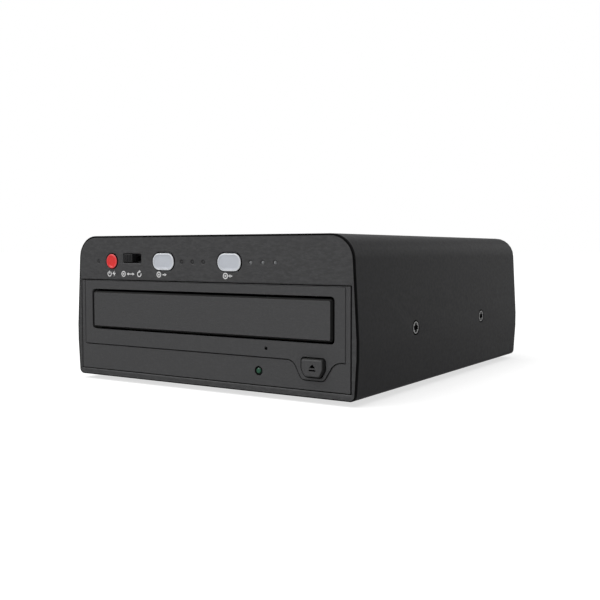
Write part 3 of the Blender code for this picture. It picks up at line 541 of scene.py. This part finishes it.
def make_front_panel():
    """A lip that thins towards its edge, the neck that enters the cover, and the skirt above the drive; the
    lip's edge is painted near-black as a painted shadow line.
    """
    bm = bmesh.new()
    holes = panel_openings()
    neck, inner = grown(case_section(), -1.1), grown(case_section(), -2.3)
    lip = [(0.0, 0.48), (0.05, 0.26), (0.15, 0.08), (0.3, 0.0), (0.8, 0.45)]
    # The whole lip edge takes the near-black look, a painted shadow line round the panel.
    slab(bm, [panel_outline, *holes], lip, turns=(0,))
    slab(bm, [neck, *holes], [(0.75, 0.0), (2.0, 0.0)])
    skirt_low = 49.0
    upper = [(u, v) for u, v in neck if v > skirt_low]
    lower = [(u, v) for u, v in inner if v > skirt_low]
    slab(bm, [upper + lower[::-1]], [(1.9, 0.0), (8.0, 0.0)])
    looks = [LOOKS["panel_plastic"], EXTRA["shadow_edge"]]
    piece("panel_face", bm, "enclosure", looks, ["front_panel"])


def make_keys():
    """The keys: a crowned face inside a rounded rim painted lighter as a painted highlight, sides painted
    near-black as painted shade in the gap, and a wider collar that ends at `back`.
    """
    shapes = {
        "power": (circle(POWER_X, CONTROL_Z, POWER_RADIUS), "red_key", 3.05),
        "read": (centred(READ_X, CONTROL_Z, *KEY_SIZE, KEY_RADIUS), "grey_key", 3.5),
        "write": (centred(WRITE_X, CONTROL_Z, *KEY_SIZE, KEY_RADIUS), "grey_key", 3.5),
    }
    for name, (loop, slot, back) in shapes.items():
        bm = bmesh.new()
        levels = [(-0.12, 1.3), (-0.18, 1.0), (-0.29, 0.78), (-0.34, 0.55), (-0.32, 0.34), (-0.22, 0.17)]
        levels += [(-0.04, 0.05), (0.15, 0.0), (2.9, 0.0)]
        # From level 3 the rim is painted lighter as a painted highlight; from level 6 the sides are painted
        # near-black as shade in the gap.
        slab(bm, [loop], levels, turns=(3, 6))
        slab(bm, [grown(loop, 0.8)], [(2.4, 0.0), (back, 0.0)])
        looks = [LOOKS[slot], EXTRA[slot.replace("key", "rim")], EXTRA["shadow_edge"]]
        piece(f"{name}_key_cap", bm, f"{name}_key", looks, [f"{name}_button"])


def make_switch_knob():
    """The slide switch's knob with its ribs, and the stem behind it."""
    left, low, _, high = SWITCH_SLOT
    start, width, ribs, half_rib = left + 0.4, 5.0, 4, 0.22
    bm = bmesh.new()
    slab(bm, [rectangle(start, low + 0.3, start + width, high - 0.3, 0.25)], eased(0.1, 3.6, 0.2))
    for k in range(ribs):
        x = start + width * (k + 1) / (ribs + 1)
        slab(bm, [rectangle(x - half_rib, low + 0.5, x + half_rib, high - 0.5, 0.1)], eased(-0.15, 0.3, 0.12))
    stem = start + width / 2
    slab(bm, [centred(stem, (low + high) / 2, 2.0, 1.4)], [(3.3, 0.0), (6.5, 0.0)])
    piece("switch_knob", bm, "mode_knob", LOOKS["dark_plastic"], ["mode_switch_knob"])


def make_light_guides():
    """Clear guides behind the panel, each with the tips that show in its face."""
    for name, places in LIGHTS.items():
        tip, first, last = LIGHT_RADIUS[name], places[0], places[-1]
        bm = bmesh.new()
        bar = centred((first + last) / 2, CONTROL_Z, last - first + 3.2, 3.0, 0.5)
        slab(bm, [bar], eased(3.0, 7.5, 0.25, 0.25))
        stem = [(0, 0.14), (tip * 0.6, 0.17), (tip * 0.88, 0.27), (tip, 0.45), (tip, 1.5)]
        stem += [(0.65, 1.8), (0.65, 3.1), (0, 3.1)]
        for x in places:
            turned(bm, stem, "Y", (x, CONTROL_Z), 20)
        look = LOOKS["light_pipe"] if name == "write" else EXTRA["smoked"]
        piece(f"{name}_light_tips", bm, "enclosure", look, [f"{name}_light_guide"])


def make_side_screws():
    """Flat-headed screws in the sides: a plated face lightened as a painted highlight, with a cross recess
    painted black as shade, inside an edge ring painted black as the shadow of the gap.
    """
    face, radius, recess = 76.95, 2.72, 0.62
    edge = [(2.67, -0.1), (3.36, -0.12), (3.3, -0.25), (2.67, -0.45)]
    seat = [(0, -0.6), (2.64, -0.6), (2.45, -1.05), (1.5, -2.0), (1.5, -5.65), (0, -5.65)]
    for side, hand in ((-1, "left"), (1, "right")):
        for k in (1, 2):
            name = f"drive_screw_{hand}_{k}"
            low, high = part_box(name)
            centre = ((low.y + high.y) / 2 / MM - FACE_Y, (low.z + high.z) / 2 / MM)
            bm = bmesh.new()
            cross = shifted(cross_outline(2.1, 0.98), *centre)
            levels = [(side * face, 0.05), (side * (face - 0.04), 0.0), (side * (face - recess), 0.0)]
            # Side walls and the cross's walls are painted near-black as painted shade; the face keeps the
            # plating lightened as a painted highlight.
            for made in slab(bm, [circle(*centre, radius), cross], levels, "X"):
                made.material_index = int(abs(made.normal.x) < 0.5)
            # The edge ring and the seat are painted near-black as the shadow of the gap and the recess.
            for profile in (edge, seat):
                places = [(r, side * (face + w)) for r, w in profile]
                for made in turned(bm, places, "X", centre, 36, profile is edge):
                    made.material_index = 1
            looks = [EXTRA["plating_and_highlight"], EXTRA["shadow_edge"]]
            piece(f"{name}_head", bm, "enclosure", looks, [name])


def make_rear_screws():
    """Pan-headed screws in the rear panel."""
    face, recess = 187.1, 185.8
    for hand, x in REAR_SCREWS.items():
        centre = (x, REAR_SCREW_Z)
        bm = bmesh.new()
        cross = shifted(cross_outline(1.6, 0.32), *centre)
        slab(bm, [circle(*centre, 2.0), cross], [(face, 0.0), (recess, 0.0)])
        head = [(1.95, face), (2.3, 187.0), (2.7, 186.7), (2.9, 186.3), (2.9, 185.6), (1.95, 185.6)]
        turned(bm, head, "Y", centre, 36, True)
        shank = [(0, 178.0), (1.5, 178.0), (1.5, 185.7), (2.0, 185.7), (2.0, 185.9), (0, 185.9)]
        turned(bm, shank, "Y", centre)
        name = f"rear_screw_{hand}"
        piece(f"{name}_head", bm, "enclosure", LOOKS["screw_steel"], [name])


def cross_outline(arm, half):
    """A cross recess seen from above, its arms narrowing outwards."""
    loop = []
    for k in range(4):
        turn = k * pi / 2
        for u, v in ((half, -half), (arm, -half * 0.75), (arm, half * 0.75)):
            loop.append((u * cos(turn) - v * sin(turn), u * sin(turn) + v * cos(turn)))
    return loop


# ---- Printed signs -------------------------------------------------------------------------------
def sign(bm, loops, face=0.0, height=0.03):
    """A flat printed shape that stands a hair proud of the face."""
    slab(bm, loops, [(face - height, 0.0), (face + 0.05, 0.0)])


def arc_band(u, v, radius, half, start, end):
    """A band along an arc, as a closed outline."""
    count = 20
    angles = [radians(start + (end - start) * k / count) for k in range(count + 1)]
    outer = [(u + (radius + half) * cos(a), v + (radius + half) * sin(a)) for a in angles]
    inner = [(u + (radius - half) * cos(a), v + (radius - half) * sin(a)) for a in reversed(angles)]
    return outer + inner


def arrow_head(u, v, size, angle):
    """A triangle that points along an angle."""
    a = radians(angle)
    return [(u + size * cos(a + k * 2 * pi / 3), v + size * sin(a + k * 2 * pi / 3)) for k in range(3)]


def disc_sign(bm, x, z):
    """A disc with a hole in it."""
    sign(bm, [circle(x, z, 1.35, 28), circle(x, z, 0.92, 28)])
    sign(bm, [circle(x, z, 0.5, 16), circle(x, z, 0.15, 16)])


def make_signs():
    """Generic symbols under the keys: power, disc to reset, out of the disc, and on to the disc."""
    bm = bmesh.new()
    ring, z = POWER_X - 1.5, SIGN_Z
    sign(bm, [arc_band(ring, z - 0.1, 1.1, 0.22, 125, 415)])
    sign(bm, [centred(ring, z + 0.65, 0.46, 1.4)])
    bolt = [(0.5, 0.2), (1.7, 1.4), (1.45, 0.35), (2.4, 0.35), (1.1, -1.4), (1.4, -0.2), (0.5, -0.2)]
    sign(bm, [[(ring + 1.5 + u, z + v) for u, v in bolt[::-1]]])
    disc, arrows, reset = -46.4, -42.0, -36.6
    disc_sign(bm, disc, z)
    sign(bm, [centred(arrows, z, 2.6, 0.42)])
    sign(bm, [arrow_head(arrows - 1.6, z, 0.8, 180)])
    sign(bm, [arrow_head(arrows + 1.6, z, 0.8, 0)])
    sign(bm, [arc_band(reset, z, 1.1, 0.24, 100, 380)])
    sign(bm, [arrow_head(reset + 0.3, z + 1.2, 0.75, 0)])
    for x, away in ((READ_X - 1.4, True), (WRITE_X - 0.7, False)):
        disc_sign(bm, x - 1.3, z)
        shaft = x + 1.6
        sign(bm, [centred(shaft, z, 1.4, 0.46)])
        sign(bm, [arrow_head(shaft + (0.9 if away else -0.7), z, 0.8, 0 if away else 180)])
    piece("panel_signs", bm, "enclosure", EXTRA["print"])


# ---- Drive's face --------------------------------------------------------------------------------
# Heights are above the drive's underside here, and each piece is raised by DRIVE_Z.
LAMP_AT = (29.9, 5.85)
PIN_HOLE_AT = (33.9, 15.5)
TRAY_OPENING = (-67.0, 18.9, 66.8, 37.9)
TRAY_FACE = (-66.1, 19.7, 65.8, 36.9)
GROOVE = 0.5
EJECT_GAP, EJECT_FACE = 0.45, -1.8


def field_outline():
    """The bezel's raised field, which dips round the eject button."""
    corners = [(-71.6, 11.9), (47.2, 11.9), (51.4, 4.1), (61.8, 4.1), (66.7, 12.0), (71.6, 12.0)]
    corners += [(71.6, 41.6), (-71.6, 41.6)]
    return rounded(corners, [0.3, 5.0, 2.2, 2.2, 6.0, 0.3, 0.3, 0.3])


def groove_outline():
    """The outer side of the groove, which runs only along the field's left and lower edges."""
    left, right, top = -72.1, 71.66, 41.66
    return [(max(left, min(right, u)), min(top, v)) for u, v in grown(field_outline(), GROOVE)]


def eject_outline():
    """The eject button's shield shape."""
    corners = [(53.6, 5.4), (60.8, 5.4), (62.4, 8.6), (62.4, 12.8), (52.0, 12.8), (52.0, 8.6)]
    return rounded(corners, [1.4, 1.4, 2.6, 1.1, 1.1, 2.6])


def make_bezel():
    """A border and a raised field with a groove between them, over one plate, and the openings.

    The eject button's hole is wider than the button by a gap all round, and by more on the left.
    """
    bm = bmesh.new()
    tray = rectangle(*TRAY_OPENING, 1.8)
    middle, more = 57.0, 0.6
    eject = [(u - more * (u < middle), v) for u, v in grown(eject_outline(), EJECT_GAP)]
    pin, lamp = circle(*PIN_HOLE_AT, 0.75, 24), circle(*LAMP_AT, 2.0, 32)
    outer = rectangle(*BEZEL, 0.12)
    slab(bm, [outer, groove_outline(), lamp], eased(0.24, 1.5, 0.07))
    slab(bm, [field_outline(), tray, eject, pin], eased(0.0, 1.5, 0.07))
    slab(bm, [outer, tray, eject, pin, lamp], [(1.4, 0.0), (4.4, 0.0)])
    piece("bezel_face", bm, "enclosure", LOOKS["bezel_plastic"], ["drive_bezel"], DRIVE_Z)


def make_tray_face():
    """The tray's face with its bevels, which are painted darker as painted shade."""
    bm = bmesh.new()
    levels = [(-0.4, 0.85), (-0.38, 0.78), (-0.3, 0.7), (0.5, 0.1), (0.6, 0.02), (0.7, 0.0), (3.1, 0.0)]
    # The bevels from the second level back are painted darker as painted shade.
    slab(bm, [rectangle(*TRAY_FACE, 1.3)], levels, turns=(1,))
    looks = [LOOKS["bezel_plastic"], EXTRA["painted_shade_bevel"]]
    piece("tray_face", bm, "tray", looks, ["tray_front"], DRIVE_Z)


def make_eject_key():
    """The eject button with its sign: a triangle over a bar. The button's sides are painted darker as painted
    shade.
    """
    bm = bmesh.new()
    levels = [(EJECT_FACE, 0.72), (-1.77, 0.58), (-1.66, 0.4), (-1.4, 0.16), (-1.1, 0.02), (3.4, 0.0)]
    # The sides from the third level back are painted darker as painted shade.
    slab(bm, [eject_outline()], levels, turns=(2,))
    slab(bm, [rectangle(54.8, 8.0, 59.6, 11.4)], [(3.0, 0.0), (7.6, 0.0)])
    looks = [LOOKS["bezel_plastic"], EXTRA["key_wall_painted_shade"]]
    piece("eject_key_cap", bm, "eject_key", looks, ["eject_button"], DRIVE_Z)
    bm = bmesh.new()
    sign(bm, [[(56.1, 9.2), (58.9, 9.2), (57.5, 10.75)]], EJECT_FACE, 0.0)
    sign(bm, [rectangle(55.95, 7.9, 59.05, 8.5)], EJECT_FACE, 0.0)
    piece("eject_sign", bm, "eject_key", EXTRA["dark_print"], (), DRIVE_Z)


def make_lamp():
    """The drive's lamp: a domed lens in a dark collar."""
    bm = bmesh.new()
    profile = [(0, 0.12), (0.5, 0.15), (0.9, 0.24), (1.15, 0.4), (1.25, 0.6), (1.25, 5.6), (0, 5.6)]
    turned(bm, profile, "Y", LAMP_AT, 32)
    piece("lamp_lens", bm, "enclosure", LOOKS["green_lamp"], ["drive_lamp"], DRIVE_Z)
    bm = bmesh.new()
    collar = [(1.3, 0.5), (1.5, 0.38), (1.85, 0.36), (1.95, 0.5), (1.95, 5.4), (1.3, 5.4)]
    turned(bm, collar, "Y", LAMP_AT, 32, True)
    piece("lamp_collar", bm, "enclosure", EXTRA["shadow_edge"], (), DRIVE_Z)


# ---- Inside: lead screw, spindle and main board --------------------------------------------------
# The first two are parts of the drive, so their heights are above its underside too.
SPINDLE_AT = (0.0, 71.0)
SCREW_AT, SCREW_ENDS = (34.0, 6.2), (80.0, 150.4)
BOARD_TOP = 54.6


def make_lead_thread():
    """The lead screw's thread, as rings whose radius swells where the thread passes."""
    bm = bmesh.new()
    x, z = SCREW_AT
    low, high = SCREW_ENDS
    lead, starts, steps, around = 3.0, 2, 12, 20
    middle, relief, steepness = 1.28, 0.2, 1.6
    count = floor((high - low) / lead * steps)
    rings = []
    for k in range(count + 1):
        y = low + (high - low) * k / count
        ring = []
        for i in range(around):
            turn = 2 * pi * i / around
            wave = cos(starts * (2 * pi * y / lead - turn))
            radius = middle + relief * max(-1.0, min(1.0, steepness * wave))
            ring.append(bm.verts.new((x + radius * cos(turn), y, z + radius * sin(turn))))
        rings.append(ring)
    for near, far in zip(rings, rings[1:]):
        skin(bm, near, far)
    bm.faces.new(rings[0])
    bm.faces.new(rings[-1])
    bmesh.ops.recalc_face_normals(bm, faces=bm.faces)
    look = LOOKS["bright_steel"]
    piece("lead_thread", bm, "sled_screw", look, ["lead_screw"], DRIVE_Z, 60.0)


def make_spindle_details():
    """The rubber ring on the turntable, and the motor's windings under it."""
    bm = bmesh.new()
    profile = [(9.2, 17.6), (13.4, 17.6), (13.4, 17.95), (13.1, 18.1), (9.5, 18.1), (9.2, 17.95)]
    turned(bm, profile, "Z", SPINDLE_AT, 48, True)
    piece("turntable_ring", bm, "disc_turntable", LOOKS["black_rubber"], (), DRIVE_Z)
    bm = bmesh.new()
    turned(bm, [(12.06, 11.0), (12.16, 11.2), (12.16, 14.2), (12.06, 14.4)], "Z", SPINDLE_AT, 48, True)
    piece("motor_windings", bm, "enclosure", EXTRA["copper"], (), DRIVE_Z)


def make_board_parts():
    """Chips with their legs, capacitors, and two rows of small parts on the main board."""
    top, leg_pitch, row = BOARD_TOP, 1.1, 9
    packages = [(-34.0, 70.0, 11.0, 9.0), (22.0, 120.0, 8.0, 8.0), (-38.0, 128.0, 7.0, 5.0)]
    cylinders = [(46.0, 70.0, 3.1, 7.5), (46.0, 80.0, 3.1, 7.5)]
    cylinders += [(38.0, 152.0, 2.5, 6.0), (-46.0, 96.0, 2.5, 6.0)]
    resin, metal, cans, chips = bmesh.new(), bmesh.new(), bmesh.new(), bmesh.new()
    for x, y, width, depth in packages:
        block(resin, (x, y, top + 0.5), (x + width, y + depth, top + 1.7), 0.2)
        legs = int(width / leg_pitch)
        for k in range(legs):
            u = x + (k + 0.5) * width / legs
            for v in (y - 0.9, y + depth - 0.1):
                block(metal, (u - 0.2, v, top + 0.02), (u + 0.2, v + 1.0, top + 0.55), 0.05)
    for x, y, radius, height in cylinders:
        profile = [(0, top + 0.1), (radius, top + 0.1), (radius, top + 1.0), (radius - 0.25, top + 1.2)]
        profile += [(radius, top + 1.5), (radius, top + height - 0.3), (radius - 0.3, top + height)]
        profile.append((0, top + height))
        turned(cans, profile, "Z", (x, y), 28)
    for k in range(row):
        for x, y in ((-20.0 + 4.2 * k, 84.0), (-44.0 + 3.6 * k, 150.0)):
            block(chips, (x, y, top + 0.02), (x + 1.6, y + 0.8, top + 0.6), 0.08)
            for u in (x - 0.25, x + 1.45):
                block(metal, (u, y - 0.05, top + 0.01), (u + 0.4, y + 0.85, top + 0.63), 0.05)
    piece("board_chips", resin, "enclosure", EXTRA["resin"])
    piece("board_solder", metal, "enclosure", EXTRA["solder"])
    piece("board_capacitors", cans, "enclosure", EXTRA["steel_can"])
    piece("board_resistors", chips, "enclosure", EXTRA["ceramic"])


# ---- Sockets at the back -------------------------------------------------------------------------
SOCKET_FACE = 185.6
USB_AT, JACK_AT = (34.0, 60.35), (52.0, 60.35)


def make_usb_socket():
    """The square USB socket: a sheet shell round a moulded insert with a tongue and four contacts."""
    x, z = USB_AT
    face, sides = SOCKET_FACE, (-1, 1)
    bm = bmesh.new()
    shell = [centred(x, z, 12.0, 10.9, 0.9), centred(x, z, 11.2, 10.1, 0.6)]
    slab(bm, shell, eased(face - 16.0, face, 0.1, 0.1, 2))
    for side in sides:
        slab(bm, [centred(x + side * 3.1, z + 5.35, 1.8, 0.2)], [(face - 9.0, 0.0), (face - 4.0, 0.0)])
    piece("usb_shell", bm, "enclosure", LOOKS["bright_steel"], ["usb_port"])
    bm = bmesh.new()
    corners = [(-4.2, -3.9), (4.2, -3.9), (4.2, 2.4), (2.7, 3.9), (-2.7, 3.9), (-4.2, 2.4)]
    insert, mouth = centred(x, z, 11.1, 10.0, 0.5), shifted(corners, x, z)
    slab(bm, [insert, mouth], eased(face - 9.0, face - 0.4, 0.0, 0.25, 2))
    slab(bm, [insert], [(face - 15.8, 0.0), (face - 8.9, 0.0)])
    slab(bm, [centred(x, z, 5.6, 3.2, 0.3)], eased(face - 9.2, face - 1.1, 0.0, 0.3))
    piece("usb_insert", bm, "enclosure", LOOKS["dark_plastic"])
    bm = bmesh.new()
    for side in sides:
        for u in (-1.25, 1.25):
            slab(bm, [centred(x + u, z + side * 1.66, 1.0, 0.2)], [(face - 8.8, 0.0), (face - 1.9, 0.0)])
    piece("usb_contacts", bm, "enclosure", EXTRA["gold"])


def make_jack_details():
    """The power jack's ring, its sprung sleeve and its pin."""
    ring = [(3.15, 0.0), (3.25, 0.2), (3.9, 0.3), (4.1, 0.1), (4.1, -0.2), (3.15, -0.2)]
    sleeve = [(2.85, -9.0), (3.1, -9.0), (3.1, -1.4), (2.95, -1.2), (2.85, -1.5)]
    pin = [(0, -9.4), (1.03, -9.4), (1.03, -1.2), (0.7, -0.78), (0, -0.7)]
    parts = {
        "ring": (ring, "dark_plastic", LOOKS["dark_plastic"]),
        "sleeve": (sleeve, "bright_steel", EXTRA["gold"]),
        "pin": (pin, "bright_steel", LOOKS["bright_steel"]),
    }
    for name, (profile, slot, look) in parts.items():
        bm = bmesh.new()
        places = [(radius, SOCKET_FACE + w) for radius, w in profile]
        turned(bm, places, "Y", JACK_AT, 36, name != "pin")
        piece(f"jack_{name}", bm, "enclosure", look)


# ---- Studio --------------------------------------------------------------------------------------
def make_floor():
    """A plain pale floor."""
    bpy.ops.mesh.primitive_plane_add(size=30.0, location=(0.0, 0.0, -0.0002))
    floor_plane = bpy.context.object
    floor_plane.name = "floor"
    look = Look("floor_white", (0.42, 0.42, 0.42), 0.9, 0.0, 0.1)
    look.shader.inputs["Emission Color"].default_value = (1.0, 1.0, 1.0, 1.0)
    look.shader.inputs["Emission Strength"].default_value = 0.68
    look.mottle(look.noise(3.0, 2.0), 0.01)
    floor_plane.data.materials.append(look.material)
    floor_plane.visible_glossy = False


def far_light(name, towards, spread, strength):
    """A wide soft light from far away, which falls evenly on the object and the floor."""
    data = bpy.data.lights.new(name, "SUN")
    data.angle = radians(spread)
    data.energy = strength
    light = bpy.data.objects.new(name, data)
    bpy.context.scene.collection.objects.link(light)
    light.rotation_mode = "QUATERNION"
    light.rotation_quaternion = (-Vector(towards)).to_track_quat("-Z", "Y")


def make_world(seen, ambient):
    """A white backdrop, with a dimmer surround for the light that falls on the object."""
    world = bpy.data.worlds.new("studio")
    bpy.context.scene.world = world
    world.use_nodes = True
    tree = world.node_tree
    tree.nodes.clear()
    out = tree.nodes.new("ShaderNodeOutputWorld")
    mix = tree.nodes.new("ShaderNodeMixShader")
    path = tree.nodes.new("ShaderNodeLightPath")
    for k, strength in enumerate((ambient, seen)):
        back = tree.nodes.new("ShaderNodeBackground")
        back.inputs["Color"].default_value = (1.0, 1.0, 1.0, 1.0)
        back.inputs["Strength"].default_value = strength
        tree.links.new(back.outputs[0], mix.inputs[k + 1])
    tree.links.new(path.outputs["Is Camera Ray"], mix.inputs[0])
    tree.links.new(mix.outputs[0], out.inputs[0])


def make_camera():
    """The view from the right of the front, at nearly the height of the case's top."""
    yaw, pitch = radians(32.66), radians(3.328)
    data = bpy.data.cameras.new("camera")
    data.lens = 51.08
    camera = bpy.data.objects.new("camera", data)
    bpy.context.scene.collection.objects.link(camera)
    camera.location = (0.23529, -0.38077, 0.06121)
    forward = Vector((-sin(yaw) * cos(pitch), cos(yaw) * cos(pitch), -sin(pitch)))
    camera.rotation_mode = "QUATERNION"
    camera.rotation_quaternion = forward.to_track_quat("-Z", "Y")
    data.clip_start, data.clip_end = 0.01, 100.0
    bpy.context.scene.camera = camera


def make_studio():
    """The floor, the camera, the backdrop and the five soft lights."""
    make_floor()
    make_camera()
    make_world(1.0, 0.14)
    far_light("key", (-0.42, -0.50, 0.76), 60.0, 2.35)
    far_light("overhead", (0.0, 0.0, 1.0), 70.0, 1.6)
    far_light("rear_right", (0.24, 0.95, 0.13), 36.0, 0.062)
    far_light("rear_top", (0.25, 0.78, 0.56), 60.0, 0.095)
    far_light("rear_left", (-0.39, 0.84, 0.38), 24.0, 0.03)
    bpy.context.scene.view_settings.view_transform = "Standard"


dress_cad_nodes()
make_front_panel()
make_keys()
make_switch_knob()
make_light_guides()
make_side_screws()
make_rear_screws()
make_signs()
make_bezel()
make_tray_face()
make_eject_key()
make_lamp()
make_lead_thread()
make_board_parts()
make_usb_socket()
make_jack_details()
make_spindle_details()
make_studio()
